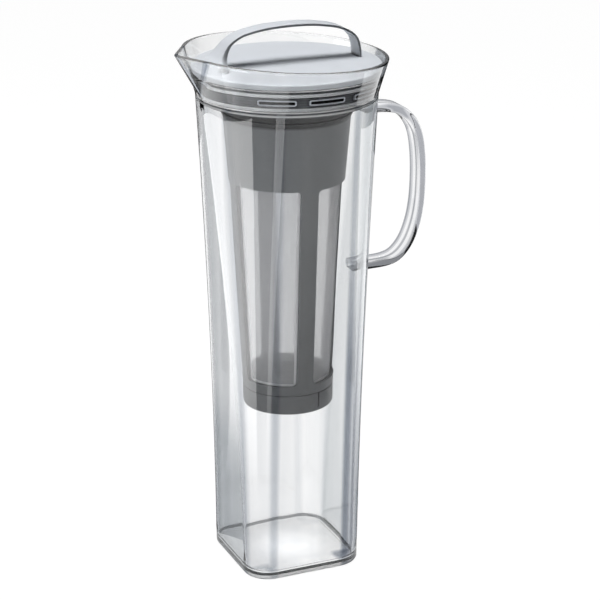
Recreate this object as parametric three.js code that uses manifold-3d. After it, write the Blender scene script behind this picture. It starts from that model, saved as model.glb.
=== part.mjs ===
// Iced tea maker: a clear fridge jug with a plug-in lid that carries a strainer for the leaves.
// Millimetres, +Z up. The origin is the centre of the jug's flat underside, on the axis of its round neck.
// +X points to the jug's handle and -X to its spout.
import * as THREE from 'three';
import { ConvexGeometry } from 'three/addons/geometries/ConvexGeometry.js';
import { mergeVertices } from 'three/addons/utils/BufferGeometryUtils.js';
import Module from 'manifold-3d';

const wasm = await Module();
wasm.setup();

// Fits shared by all pieces
const seatGap = 0.3; // left between two pieces that touch or turn on each other
const overrun = 2; // how far a cutting tool runs past the wall that it opens

// Jug body
const baseSide = 65.4;
const baseCornerRadius = 14;
const baseEdgeRadius = 2.5;
const bodyHeight = 258.5; // underside to the crease below the flare
const neckRadius = 46.7; // outside, at the crease
const jugWall = 2.3;
const floorThickness = 3.2;
const innerEdgeRadius = 3;
const swellPower = 1.68; // how late the square base grows into the round neck
const flareHeight = 20.5; // crease to rim, on the axis
const flareSpread = 6; // how much wider the rim is than the crease, per side
const flareWall = 1.9;
const rimTilt = THREE.MathUtils.degToRad(3.2); // the rim climbs towards the spout
const ledgeRise = 11.5; // crease to the ledge that the lid sits on
const spoutReach = 14.1; // tip of the spout beyond the neck
const spoutTipRadius = 2.2;
const spoutShoulderAngle = THREE.MathUtils.degToRad(20);

// Jug handle, along the middle of its bar
const handleTopDrop = 12.6; // below the crease
const handleSpan = 85.5; // between its two arms
const handleStandOff = 29; // from the neck's outside to the middle of the grip
const handleWidth = 12;
const handleThickness = 4.9;
const handleEdgeRadius = 1.9;

// Lid cap: a disc and an arched grip in one moulding
const discThickness = 3;
const discCrown = 0.7;
const discEdgeRadius = 1;
const discClearance = 0.45;
const archHeight = 18.2; // from the disc's edge to the underside of the arch
const archSpan = 72; // between the legs, inside
const archOffset = 1.4; // middle of the arch from the axis, towards the handle
const archThickness = 1.9;
const archWidth = 10.6;
const archFootWidth = 30; // where the spout-side leg spreads into the disc
const archFootLength = 12;
const archEdgeRadius = 0.6;

// Lid plug: the skirt below the cap, its pouring slots and the socket that holds the strainer
const skirtClearance = 0.8;
const skirtWall = 2.2;
const skirtDrop = 4.2; // below the crease
const webThickness = 1.8;
const socketWall = 1.6;
const slotsPerSide = 3;
const slotHeight = 2.4;
const slotAngle = THREE.MathUtils.degToRad(24);
const slotPitch = THREE.MathUtils.degToRad(32);
const slotEndRadius = 0.9;
const slotTurn = THREE.MathUtils.degToRad(2.7); // how far both rows sit towards the handle
const slotRise = 3.6; // crease to the lower edge of the slots

// Packing rings
const packingHeight = 2;
const grooveDepth = 1;
const lowerPackingRise = 0.4; // crease to the lower ring's underside
const upperPackingRise = 7.8; // crease to the upper ring's underside
const packingLips = 2;
const packingLipDepth = 0.45;

// Strainer
const teaPassage = 11.5; // between the neck's bore and the strainer's collar
const strainerDrop = 4.6; // from the skirt's lower edge to the collar's lip
const lipHeight = 1.4;
const lipProud = 0.6;
const spigotRise = 9; // the part of the collar that goes up into the socket
const frameWall = 1.8;
const collarHeight = 40.7;
const collarTaper = 3;
const basketTaper = 5.5;
const windowTopDrop = 36.1; // from the lip's top to the windows' upper edge
const windowHeight = 107.6;
const windowCornerRadius = 2.4;
const ribCount = 4;
const ribWidth = 9;
const lowerRingHeight = 5.2;
const meshThickness = 0.8;
const meshOverlap = 4; // how far the mesh runs up behind the collar

// Strainer base cap
const capHeight = 10.6;
const capWall = 1.6;
const capFloor = 1.6;
const capEdgeRadius = 1.4;
const capSpigotDepth = 5.2; // the strainer's end inside the cap
const slitCount = 3;
const slitWidth = 0.8;
const slitTurn = THREE.MathUtils.degToRad(50);

// Smoothness of round forms
const bodyColumns = 64;
const ringColumns = 48;
const bodyRings = 8;
const edgeRings = 3;
const weldTolerance = 1e-4;
const roundedShare = 0.95; // most of a strap's half depth that its edges take up
const crownShare = 0.5; // where the crown of the disc has its second step, of its radius
const barSteps = 44;
const barCornerSteps = 3;
const windowCornerSteps = 6;

// Sizes that follow from the ones above
const boreRadius = neckRadius - jugWall;
const ledgeHeight = bodyHeight + ledgeRise;
const rimHeight = bodyHeight + flareHeight;
const flareSlope = flareSpread / flareHeight;
const highestRim = rimHeight + Math.tan(rimTilt) * (neckRadius + spoutReach);
const flareTop = highestRim + overrun;
const skirtRadius = boreRadius - skirtClearance;
const skirtBottom = bodyHeight - skirtDrop;
const webTop = ledgeHeight;
const collarRadius = boreRadius - teaPassage;
const lipTop = skirtBottom - strainerDrop;
const collarTop = lipTop - lipHeight;
const kneeHeight = lipTop - collarHeight;
const kneeRadius = collarRadius - collarTaper;
const windowTop = lipTop - windowTopDrop;
const windowBottom = windowTop - windowHeight;
const basketRadius = kneeRadius - basketTaper;
const frameBottom = windowBottom - lowerRingHeight;
const meshSeat = frameBottom + frameWall;

function flareRadius(z) {
  return neckRadius + (z - bodyHeight) * flareSlope;
}

// Geometry helpers
function toSolid(geometry) {
  const bare = geometry.index ? geometry.toNonIndexed() : geometry.clone();
  bare.deleteAttribute('normal');
  bare.deleteAttribute('uv');
  const merged = mergeVertices(bare, weldTolerance);
  return new wasm.Manifold(new wasm.Mesh({
    numProp: 3,
    vertProperties: new Float32Array(merged.attributes.position.array),
    triVerts: new Uint32Array(merged.index.array),
  }));
}

function toGeometry(solid) {
  const mesh = solid.getMesh();
  const geometry = new THREE.BufferGeometry();
  geometry.setAttribute('position', new THREE.BufferAttribute(new Float32Array(mesh.vertProperties), 3));
  geometry.setIndex(new THREE.BufferAttribute(new Uint32Array(mesh.triVerts), 1));
  geometry.computeVertexNormals();
  return geometry;
}

// Skins a stack of rings, each with the same number of points, and closes both ends.
function loft(rings) {
  const count = rings[0].length;
  const positions = [];
  const indices = [];
  for (const ring of rings) {
    for (const point of ring) positions.push(point.x, point.y, point.z);
  }
  for (let level = 0; level + 1 < rings.length; level += 1) {
    for (let i = 0; i < count; i += 1) {
      const j = (i + 1) % count;
      const low = level * count;
      const high = low + count;
      indices.push(low + i, low + j, high + j, low + i, high + j, high + i);
    }
  }
  const ends = [rings[0], rings[rings.length - 1]];
  for (const [end, ring] of ends.entries()) {
    const centre = ring.reduce((sum, point) => sum.add(point), new THREE.Vector3()).divideScalar(count);
    const hub = positions.length / 3;
    const start = end === 0 ? 0 : (rings.length - 1) * count;
    positions.push(centre.x, centre.y, centre.z);
    for (let i = 0; i < count; i += 1) {
      const j = (i + 1) % count;
      if (end === 0) indices.push(hub, start + j, start + i);
      else indices.push(hub, start + i, start + j);
    }
  }
  const geometry = new THREE.BufferGeometry();
  geometry.setAttribute('position', new THREE.Float32BufferAttribute(positions, 3));
  geometry.setIndex(indices);
  return geometry;
}

// A turned piece about the jug's axis. The profile is a closed list of [radius, height].
function turned(profile, columns = ringColumns) {
  const points = profile.map(([radius, height]) => new THREE.Vector2(radius, height));
  points.push(points[0].clone());
  const geometry = new THREE.LatheGeometry(points, columns);
  geometry.rotateX(Math.PI / 2);
  return toSolid(geometry);
}

function quarterArc(centreRadius, centreHeight, radius, fromAngle, steps = edgeRings) {
  return Array.from({ length: steps + 1 }, (_, i) => {
    const angle = fromAngle + (Math.PI / 2) * (i / steps);
    return [centreRadius + radius * Math.cos(angle), centreHeight + radius * Math.sin(angle)];
  });
}

// One ring of a square with rounded corners, found by a ray at each column's angle.
function roundedSquareRing(halfSide, cornerRadius, height) {
  const corner = Math.max(halfSide - cornerRadius, 0);
  return Array.from({ length: bodyColumns }, (_, column) => {
    const angle = (2 * Math.PI * column) / bodyColumns;
    const across = Math.abs(Math.cos(angle));
    const along = Math.abs(Math.sin(angle));
    const far = Math.max(across, along);
    const near = Math.min(across, along);
    let reach = halfSide / far;
    if (reach * near > corner) {
      const middle = corner * (across + along);
      reach = middle + Math.sqrt(Math.max(middle ** 2 - 2 * corner ** 2 + cornerRadius ** 2, 0));
    }
    return new THREE.Vector3(reach * Math.cos(angle), reach * Math.sin(angle), height);
  });
}

// The jug's section at a height: the square base swells into the round neck.
function bodySection(height, inset) {
  const share = (height / bodyHeight) ** swellPower;
  const halfSide = THREE.MathUtils.lerp(baseSide / 2, neckRadius, share) - inset;
  const cornerRadius = THREE.MathUtils.lerp(baseCornerRadius, neckRadius, share) - inset;
  return roundedSquareRing(halfSide, cornerRadius, height);
}

// Rings from a rounded bottom edge at the given height up to the crease.
function bodySkin(bottom, edgeRadius, inset) {
  const rings = [];
  for (let i = 0; i < edgeRings; i += 1) {
    const angle = (Math.PI / 2) * (i / edgeRings);
    const height = bottom + edgeRadius * (1 - Math.cos(angle));
    rings.push(bodySection(height, inset + edgeRadius * (1 - Math.sin(angle))));
  }
  for (let i = 0; i <= bodyRings; i += 1) {
    rings.push(bodySection(THREE.MathUtils.lerp(bottom + edgeRadius, bodyHeight, i / bodyRings), inset));
  }
  return rings;
}

function roundRing(radius, height) {
  return roundedSquareRing(radius, radius, height);
}

// The spout as a wedge that starts as a point on the crease. Its flanks run on above the rim.
function spoutWedge(shift) {
  const foot = new THREE.Vector3(-neckRadius, 0, bodyHeight);
  const tipHeight = rimHeight + Math.tan(rimTilt) * (neckRadius + spoutReach);
  const shoulderHeight = rimHeight + Math.tan(rimTilt) * neckRadius;
  const stretch = (flareTop - bodyHeight) / (tipHeight - bodyHeight);
  const points = [foot.clone()];
  const tipCentre = neckRadius + spoutReach - spoutTipRadius;
  for (let i = -edgeRings; i <= edgeRings; i += 1) {
    const angle = (Math.PI / 4) * (i / edgeRings);
    const tip = new THREE.Vector3(
      -tipCentre - spoutTipRadius * Math.cos(angle), spoutTipRadius * Math.sin(angle), tipHeight);
    points.push(tip.sub(foot).multiplyScalar(stretch).add(foot));
  }
  for (const side of [-1, 1]) {
    const radius = flareRadius(shoulderHeight);
    const shoulder = new THREE.Vector3(
      -radius * Math.cos(spoutShoulderAngle), side * radius * Math.sin(spoutShoulderAngle), shoulderHeight);
    points.push(shoulder.sub(foot).multiplyScalar(stretch).add(foot));
    points.push(new THREE.Vector3(-boreRadius / 2, side * spoutTipRadius, flareTop));
  }
  const wedge = new ConvexGeometry(points);
  wedge.translate(shift, 0, 0);
  return toSolid(wedge);
}

// Everything above the tilted rim
function aboveRim() {
  const reach = 4 * neckRadius;
  const block = new THREE.BoxGeometry(reach, reach, reach);
  block.translate(0, 0, reach / 2);
  block.rotateY(rimTilt);
  block.translate(0, 0, rimHeight);
  return toSolid(block);
}

function jugBody() {
  const rimRadius = flareRadius(rimHeight);
  const spoutHalfAngle = Math.atan2(
    rimRadius * Math.sin(spoutShoulderAngle),
    neckRadius + spoutReach - rimRadius * Math.cos(spoutShoulderAngle));
  const outer = toSolid(loft([
    ...bodySkin(0, baseEdgeRadius, 0),
    roundRing(flareRadius(flareTop), flareTop),
  ])).add(spoutWedge(0));
  const inner = toSolid(loft([
    ...bodySkin(floorThickness, innerEdgeRadius, jugWall),
    roundRing(boreRadius, ledgeHeight),
    roundRing(flareRadius(ledgeHeight) - flareWall, ledgeHeight),
    roundRing(flareRadius(flareTop + overrun) - flareWall, flareTop + overrun),
  ])).add(spoutWedge(flareWall / Math.sin(spoutHalfAngle)));
  return outer.subtract(inner).subtract(aboveRim());
}

// A bar or strap whose rings run along the X-Z plane. Each station has its inner and outer
// edge in that plane and its half width across it.
function strap(stations, edgeRadius) {
  const rings = stations.map(({ inner, outer, halfWidth }) => {
    const middle = inner.clone().add(outer).multiplyScalar(0.5);
    const outward = outer.clone().sub(inner);
    const halfDepth = outward.length() / 2;
    outward.normalize();
    const radius = Math.min(edgeRadius, halfDepth * roundedShare);
    const ring = [];
    for (const [acrossSign, outSign, from] of [[1, 1, 0], [-1, 1, 1], [-1, -1, 2], [1, -1, 3]]) {
      for (let i = 0; i <= barCornerSteps; i += 1) {
        const angle = (Math.PI / 2) * (from + i / barCornerSteps);
        const across = acrossSign * (halfWidth - radius) + radius * Math.cos(angle);
        const out = outSign * (halfDepth - radius) + radius * Math.sin(angle);
        ring.push(new THREE.Vector3(middle.x + outward.x * out, across, middle.y + outward.y * out));
      }
    }
    return ring;
  });
  const solid = toSolid(loft(rings));
  return solid.volume() > 0 ? solid : toSolid(loft(rings.reverse()));
}

function smoothCurve(points) {
  return new THREE.SplineCurve(points.map(([x, z]) => new THREE.Vector2(x, z)));
}

// Places along the middle of the handle's bar, as shares of its stand-off and span
const handleShares = [
  [-0.08, 1.0], [0.33, 0.99], [0.57, 0.962], [0.78, 0.897], [0.915, 0.8], [0.98, 0.66], [0.995, 0.507],
  [0.975, 0.361], [0.905, 0.232], [0.77, 0.116], [0.57, 0.037], [0.33, 0.006], [-0.08, 0.0], [-0.36, 0.0],
];

function jugHandle() {
  const bottomArm = bodyHeight - handleTopDrop - handleSpan;
  const curve = smoothCurve(handleShares.map(([out, up]) => [
    neckRadius + handleStandOff * out, bottomArm + handleSpan * up]));
  const stations = Array.from({ length: barSteps + 1 }, (_, i) => {
    const place = curve.getPointAt(i / barSteps);
    const ahead = curve.getTangentAt(i / barSteps);
    const outward = new THREE.Vector2(-ahead.y, ahead.x).multiplyScalar(handleThickness / 2);
    return { inner: place.clone().sub(outward), outer: place.clone().add(outward), halfWidth: handleWidth / 2 };
  });
  const jugOutside = toSolid(loft(bodySkin(0, baseEdgeRadius, -seatGap)));
  return strap(stations, handleEdgeRadius).subtract(jugOutside);
}

// The underside of the arch from its spout-side leg to its handle-side leg, as shares of half its
// span and of its height, and how far the strap is thickened and widened there towards the foot.
const archShares = [
  [-1.0, -0.08, 1.0], [-1.0, 0.1, 0.66], [-0.995, 0.22, 0.4], [-0.985, 0.36, 0.2], [-0.96, 0.5, 0.08],
  [-0.9, 0.66, 0.02], [-0.765, 0.82, 0], [-0.6, 0.905, 0], [-0.4, 0.965, 0], [-0.2, 0.992, 0], [0.03, 1.0, 0],
  [0.25, 0.985, 0], [0.47, 0.935, 0], [0.68, 0.85, 0], [0.85, 0.7, 0], [0.945, 0.53, 0], [0.985, 0.32, 0],
  [1.0, 0.1, 0], [1.0, -0.08, 0],
];

function lidArch(discTop) {
  const places = archShares.map(([along, up]) => new THREE.Vector2(
    archOffset + (archSpan / 2) * along, discTop + archHeight * up));
  const stations = places.map((inner, i) => {
    const before = places[Math.max(i - 1, 0)];
    const after = places[Math.min(i + 1, places.length - 1)];
    const ahead = after.clone().sub(before).normalize();
    const footShare = archShares[i][2];
    const depth = archThickness + (archFootLength - archThickness) * footShare;
    const outer = inner.clone().add(new THREE.Vector2(-ahead.y, ahead.x).multiplyScalar(depth));
    const halfWidth = (archWidth + (archFootWidth - archWidth) * footShare) / 2;
    return { inner, outer, halfWidth };
  });
  return strap(stations, archEdgeRadius);
}

function lidCap() {
  const bottom = ledgeHeight + seatGap;
  const top = bottom + discThickness;
  const lowRadius = flareRadius(bottom) - flareWall - discClearance;
  const highRadius = lowRadius + (discThickness - discEdgeRadius) * flareSlope;
  const disc = turned([
    [0, bottom],
    [lowRadius, bottom],
    ...quarterArc(highRadius - discEdgeRadius, top - discEdgeRadius, discEdgeRadius, 0),
    [highRadius * crownShare, top + discCrown * (1 - crownShare ** 2)],
    [0, top + discCrown],
  ]);
  return disc.add(lidArch(top));
}

// A prism with rounded corners, standing on its centre at the given radius and pointing outwards
function radialPrism(width, height, cornerRadius, fromRadius, toRadius) {
  const shape = new THREE.Shape();
  const right = width / 2;
  const upper = height / 2;
  shape.moveTo(-right + cornerRadius, -upper);
  shape.lineTo(right - cornerRadius, -upper);
  shape.absarc(right - cornerRadius, -upper + cornerRadius, cornerRadius, -Math.PI / 2, 0);
  shape.absarc(right - cornerRadius, upper - cornerRadius, cornerRadius, 0, Math.PI / 2);
  shape.absarc(-right + cornerRadius, upper - cornerRadius, cornerRadius, Math.PI / 2, Math.PI);
  shape.absarc(-right + cornerRadius, -upper + cornerRadius, cornerRadius, Math.PI, 1.5 * Math.PI);
  const prism = new THREE.ExtrudeGeometry(shape, {
    depth: toRadius - fromRadius, bevelEnabled: false, curveSegments: barCornerSteps });
  prism.translate(0, 0, fromRadius);
  prism.rotateX(Math.PI / 2);
  prism.rotateZ(Math.PI / 2);
  return prism;
}

function lidPlug() {
  const inside = skirtRadius - skirtWall;
  const grooveRadius = skirtRadius - grooveDepth;
  const socketOuter = collarRadius;
  const socketInner = socketOuter - socketWall;
  const grooves = [lowerPackingRise, upperPackingRise].flatMap((rise) => {
    const low = bodyHeight + rise - seatGap;
    const high = low + packingHeight + 2 * seatGap;
    return [[skirtRadius, low], [grooveRadius, low], [grooveRadius, high], [skirtRadius, high]];
  });
  let plug = turned([
    [0, webTop],
    [0, webTop - webThickness],
    [socketInner, webTop - webThickness],
    [socketInner, lipTop + seatGap],
    [socketOuter, lipTop + seatGap],
    [socketOuter, webTop - webThickness],
    [inside, webTop - webThickness],
    [inside, skirtBottom],
    [skirtRadius - seatGap, skirtBottom],
    ...grooves,
    [skirtRadius, webTop],
  ]);
  const slotWidth = 2 * skirtRadius * Math.sin(slotAngle / 2);
  const slotMiddle = bodyHeight + slotRise + slotHeight / 2;
  for (const side of [-1, 1]) {
    for (let i = 0; i < slotsPerSide; i += 1) {
      const turn = side * (Math.PI / 2 - slotTurn) + (i - (slotsPerSide - 1) / 2) * slotPitch;
      const slot = radialPrism(slotWidth, slotHeight, slotEndRadius,
        inside * Math.cos(slotAngle / 2) - overrun, skirtRadius + overrun);
      slot.rotateZ(turn);
      slot.translate(0, 0, slotMiddle);
      plug = plug.subtract(toSolid(slot));
    }
  }
  return plug;
}

// A silicone ring with two lips, in a groove of the plug
function packingRing(rise) {
  const bottom = bodyHeight + rise;
  const top = bottom + packingHeight;
  const inside = skirtRadius - grooveDepth + seatGap;
  const outside = boreRadius - seatGap;
  const waist = outside - packingLipDepth;
  const lip = packingHeight / (2 * packingLips);
  return turned([
    [inside, bottom],
    [waist, bottom],
    [outside, bottom + lip],
    [waist, (bottom + top) / 2],
    [outside, top - lip],
    [waist, top],
    [inside, top],
  ]);
}

// The strainer narrows below its collar and again along the basket.
function strainerRadius(height) {
  if (height >= kneeHeight) {
    const share = (height - kneeHeight) / (collarTop - kneeHeight);
    return THREE.MathUtils.lerp(kneeRadius, collarRadius, share);
  }
  const share = (height - frameBottom) / (kneeHeight - frameBottom);
  return THREE.MathUtils.lerp(basketRadius, kneeRadius, share);
}

// One rib as a prism along its radius, widened by the rounded corners of the windows beside it
function ribPrism(turn) {
  const edge = ribWidth / 2;
  const radius = windowCornerRadius;
  const wide = edge + radius;
  const shape = new THREE.Shape();
  shape.moveTo(-wide, windowBottom - overrun);
  shape.lineTo(wide, windowBottom - overrun);
  shape.absarc(wide, windowBottom + radius, radius, 1.5 * Math.PI, Math.PI, true);
  shape.absarc(wide, windowTop - radius, radius, Math.PI, Math.PI / 2, true);
  shape.lineTo(wide, windowTop + overrun);
  shape.lineTo(-wide, windowTop + overrun);
  shape.absarc(-wide, windowTop - radius, radius, Math.PI / 2, 0, true);
  shape.absarc(-wide, windowBottom + radius, radius, 0, -Math.PI / 2, true);
  const from = basketRadius / 2 - overrun;
  const prism = new THREE.ExtrudeGeometry(shape, {
    depth: collarRadius + 2 * overrun - from, bevelEnabled: false, curveSegments: windowCornerSteps });
  prism.translate(0, 0, from);
  prism.rotateX(Math.PI / 2);
  prism.rotateZ(Math.PI / 2 + turn);
  return toSolid(prism);
}

// All four windows in one tool: a thick band with the ribs taken out of it
function windowTool() {
  const inside = basketRadius / 2;
  const outside = collarRadius + overrun;
  let tool = turned([
    [inside, windowBottom], [outside, windowBottom], [outside, windowTop], [inside, windowTop],
  ]);
  for (let rib = 0; rib < ribCount; rib += 1) {
    tool = tool.subtract(ribPrism((2 * Math.PI * rib) / ribCount));
  }
  return tool;
}

function strainerFrame() {
  const socketInner = collarRadius - socketWall;
  const spigotOuter = socketInner - seatGap;
  const capSpigotOuter = basketRadius - capWall - seatGap;
  const spigotBottom = frameBottom - capSpigotDepth;
  const innerAt = (height) => strainerRadius(height) - frameWall;
  const frame = turned([
    [capSpigotOuter - frameWall, spigotBottom],
    [capSpigotOuter, spigotBottom],
    [capSpigotOuter, frameBottom],
    [basketRadius, frameBottom],
    [kneeRadius, kneeHeight],
    [collarRadius, collarTop],
    [collarRadius + lipProud, collarTop],
    [collarRadius + lipProud, lipTop],
    [spigotOuter, lipTop],
    [spigotOuter, lipTop + spigotRise],
    [spigotOuter - frameWall, lipTop + spigotRise],
    [spigotOuter - frameWall, collarTop],
    [innerAt(collarTop), collarTop],
    [innerAt(kneeHeight), kneeHeight],
    [innerAt(meshSeat), meshSeat],
    [capSpigotOuter - frameWall, meshSeat],
  ]);
  return frame.subtract(windowTool());
}

function strainerMesh() {
  const top = windowTop + meshOverlap;
  const bottom = meshSeat + seatGap;
  const outerAt = (height) => strainerRadius(height) - frameWall - seatGap;
  const heights = [bottom, kneeHeight, top];
  return turned([
    ...heights.map((height) => [outerAt(height), height]),
    ...heights.reverse().map((height) => [outerAt(height) - meshThickness, height]),
  ]);
}

function strainerBaseCap() {
  const top = frameBottom - seatGap;
  const bottom = frameBottom - capHeight;
  const inside = basketRadius - capWall;
  const cup = turned([
    [0, bottom],
    ...quarterArc(basketRadius - capEdgeRadius, bottom + capEdgeRadius, capEdgeRadius, -Math.PI / 2),
    [basketRadius, top],
    [inside, top],
    [inside, bottom + capFloor],
    [0, bottom + capFloor],
  ]);
  const slitBottom = bottom + capFloor + slitWidth;
  let cap = cup;
  for (let i = 0; i < slitCount; i += 1) {
    const slit = new THREE.BoxGeometry(capWall + 2 * overrun, slitWidth, top + overrun - slitBottom);
    slit.translate(basketRadius - capWall / 2, 0, (slitBottom + top + overrun) / 2);
    slit.rotateZ(slitTurn + (2 * Math.PI * i) / slitCount);
    cap = cap.subtract(toSolid(slit));
  }
  return cap;
}

// Materials
const clear = { color: 0xe4eaec, roughness: 0.05, metalness: 0, transparent: true, opacity: 0.35 };
const grey = { color: 0xa4a9b2, roughness: 0.42, metalness: 0 };
const silicone = { color: 0xc9cdd2, roughness: 0.6, metalness: 0 };
const fineMesh = { color: 0xc4c6ca, roughness: 0.7, metalness: 0, transparent: true, opacity: 0.7 };

const iceTeaMaker = new THREE.Group();

function addPiece(name, solid, finish, parent = iceTeaMaker) {
  const piece = new THREE.Mesh(toGeometry(solid), new THREE.MeshStandardMaterial(finish));
  piece.name = name;
  parent.add(piece);
  return piece;
}

addPiece('jug_body', jugBody(), clear);
addPiece('jug_handle', jugHandle(), clear);

const lidGroup = new THREE.Group();
addPiece('lid_cap', lidCap(), grey, lidGroup);
addPiece('lid_plug', lidPlug(), grey, lidGroup);
addPiece('upper_packing', packingRing(upperPackingRise), silicone, lidGroup);
addPiece('lower_packing', packingRing(lowerPackingRise), silicone, lidGroup);
iceTeaMaker.add(lidGroup);

const strainerGroup = new THREE.Group();
addPiece('strainer_frame', strainerFrame(), grey, strainerGroup);
addPiece('strainer_mesh', strainerMesh(), fineMesh, strainerGroup);
addPiece('strainer_base_cap', strainerBaseCap(), grey, strainerGroup);
iceTeaMaker.add(strainerGroup);

export default iceTeaMaker;
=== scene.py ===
# Iced tea maker: a clear fridge jug, its plug-in lid and the long strainer that hangs from the lid.
# Metres, +Z up, the CAD frame: the origin is the middle of the jug's flat underside, +X points to the handle.
import math
from functools import partial

import bmesh
import bpy
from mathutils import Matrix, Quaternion, Vector


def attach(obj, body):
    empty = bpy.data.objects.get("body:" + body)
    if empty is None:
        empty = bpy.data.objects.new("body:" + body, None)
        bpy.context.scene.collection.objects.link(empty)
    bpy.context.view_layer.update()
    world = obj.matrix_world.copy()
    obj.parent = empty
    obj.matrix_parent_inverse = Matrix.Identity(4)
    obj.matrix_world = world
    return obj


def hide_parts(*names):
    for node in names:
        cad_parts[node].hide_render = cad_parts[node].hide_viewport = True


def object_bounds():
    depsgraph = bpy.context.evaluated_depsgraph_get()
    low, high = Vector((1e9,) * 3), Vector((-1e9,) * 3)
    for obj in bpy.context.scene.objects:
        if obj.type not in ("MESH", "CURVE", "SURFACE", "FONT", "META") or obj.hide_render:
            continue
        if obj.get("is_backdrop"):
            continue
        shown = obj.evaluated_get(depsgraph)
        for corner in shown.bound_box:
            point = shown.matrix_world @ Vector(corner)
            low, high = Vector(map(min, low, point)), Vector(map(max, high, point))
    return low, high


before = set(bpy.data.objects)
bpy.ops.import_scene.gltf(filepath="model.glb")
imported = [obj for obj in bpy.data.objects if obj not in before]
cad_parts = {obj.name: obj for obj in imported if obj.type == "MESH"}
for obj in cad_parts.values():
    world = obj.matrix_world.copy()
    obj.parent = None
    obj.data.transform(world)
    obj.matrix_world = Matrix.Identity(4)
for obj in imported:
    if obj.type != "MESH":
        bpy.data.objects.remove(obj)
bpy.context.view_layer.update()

# Camera
# A long lens looks down on the jug from the front, a little to its spout side, as in the photograph.
CAMERA_AZIMUTH = math.radians(-23.26)
CAMERA_DROP = math.radians(19.84)
CAMERA_ROLL = 0.0019
CAMERA_DISTANCE = 1.0014  # level distance from the jug's axis
CAMERA_HEIGHT = 0.5067
CAMERA_LENS = 121.24
CAMERA_SENSOR = 36.0
CAMERA_SHIFT = 0.0226
CAMERA_NEAR = 0.05
CAMERA_FAR = 40.0

camera_data = bpy.data.cameras.new("camera")
camera_data.sensor_width = CAMERA_SENSOR
camera_data.lens = CAMERA_LENS
camera_data.shift_x = CAMERA_SHIFT
camera_data.clip_start = CAMERA_NEAR
camera_data.clip_end = CAMERA_FAR
camera = bpy.data.objects.new("camera", camera_data)
camera.location = (
    CAMERA_DISTANCE * math.sin(CAMERA_AZIMUTH),
    -CAMERA_DISTANCE * math.cos(CAMERA_AZIMUTH),
    CAMERA_HEIGHT,
)
looking = Vector((
    -math.sin(CAMERA_AZIMUTH) * math.cos(CAMERA_DROP),
    math.cos(CAMERA_AZIMUTH) * math.cos(CAMERA_DROP),
    -math.sin(CAMERA_DROP),
))
camera.rotation_mode = "QUATERNION"
camera.rotation_quaternion = looking.to_track_quat("-Z", "Y") @ Quaternion((0, 0, 1), CAMERA_ROLL)
bpy.context.scene.collection.objects.link(camera)
bpy.context.scene.camera = camera
bpy.context.scene.view_settings.view_transform = "Standard"

# Jug body
# One moulding in a clear, faintly blue-grey plastic: a rounded square base that swells into a round neck, a
# flared rim that climbs towards the spout, and a ledge inside for the lid. Its colour builds up along the way
# that the light takes through it, and its edges, corners and spout folds are painted darker as painted shade.
UNDERSIDE = 0.0
NECK_RADIUS = 0.0467
CREASE = 0.2585
BASE_SIDE = 0.0654
BASE_CORNER = 0.014
BASE_EDGE = 0.0025
SWELL = 1.68
WALL = 0.0023
FLOOR_THICKNESS = 0.0032
INNER_EDGE = 0.003
FLARE_HEIGHT = 0.0205
FLARE_SPREAD = 0.006
FLARE_WALL = 0.0019
RIM_TILT = math.radians(3.2)
LEDGE = CREASE + 0.0115
SPOUT_REACH = 0.0141
SPOUT_SHOULDER = math.radians(20)
SPOUT_SOFT = 0.022
SPOUT_BLEND = 0.0006
SPOUT_FALL = 0.06
FOOT_ANGLE = math.radians(2.2)
FOOT_START = 0.2
RIM_ROUND = 0.00075
LEDGE_ROUND = 0.0005
CREASE_EASE = 0.0005
BORE_RADIUS = NECK_RADIUS - WALL
RIM_HEIGHT = CREASE + FLARE_HEIGHT
JUG_COLUMNS = 256
SHOULDER_COLUMN = 12
CORNER_DENSITY = 0.08
FLOOR_RINGS = (0.4, 0.7, 0.9)  # shares of the way from the middle of a flat floor to its edge
BODY_ROWS = 36
FLARE_ROWS = 18
FLARE_INNER_ROWS = 10
LIP_ROWS = 8
BORE_ROWS = 8
EDGE_ROWS = 6


def loft(columns, stations):
    """Grows a skin ring by ring. Each station is a function that says where a column's corner goes."""
    bm = bmesh.new()
    column = bm.verts.layers.int.new("column")
    for number, corner in enumerate(bmesh.ops.create_circle(bm, segments=columns, radius=1)["verts"]):
        corner[column] = number
        corner.co = stations[0](number)
    first = list(bm.edges)
    rim = first
    for station in stations[1:]:
        grown = bmesh.ops.extrude_edge_only(bm, edges=rim)["geom"]
        corners = {part for part in grown if isinstance(part, bmesh.types.BMVert)}
        rim = [part for part in grown if isinstance(part, bmesh.types.BMEdge) and set(part.verts) <= corners]
        for corner in corners:
            corner.co = station(corner[column])
    for end in (first, rim):
        bmesh.ops.edgeloop_fill(bm, edges=end)
    bmesh.ops.recalc_face_normals(bm, faces=bm.faces)
    return bm


def make_piece(bm, name, material, sharp=40):
    """A smooth-shaded object from a finished bmesh, with edges over the given angle kept sharp."""
    mesh = bpy.data.meshes.new(name)
    bm.to_mesh(mesh)
    bm.free()
    mesh.polygons.foreach_set("use_smooth", [True] * len(mesh.polygons))
    mesh.set_sharp_from_angle(angle=math.radians(sharp))
    mesh.materials.append(material)
    piece = bpy.data.objects.new(name, mesh)
    bpy.context.scene.collection.objects.link(piece)
    return piece


def stand_in(piece, node, body):
    """The piece replaces a CAD node, which is hidden, and moves with its body."""
    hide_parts(node)
    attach(piece, body)


def blend_between(low, high, share):
    return low + (high - low) * share


def steps(low, high, count):
    return [blend_between(low, high, number / count) for number in range(count + 1)]


def smooth_share(value):
    value = min(max(value, 0), 1)
    return value * value * (3 - 2 * value)


def turn_of(column):
    """A column's angle from the spout's direction, with the columns closer together at the four corners."""
    turn = 2 * math.pi * (column - JUG_COLUMNS / 2) / JUG_COLUMNS
    return turn + CORNER_DENSITY * math.sin(4 * turn)


COLUMN_SHOULDER = turn_of(JUG_COLUMNS / 2 + SHOULDER_COLUMN)


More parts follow.
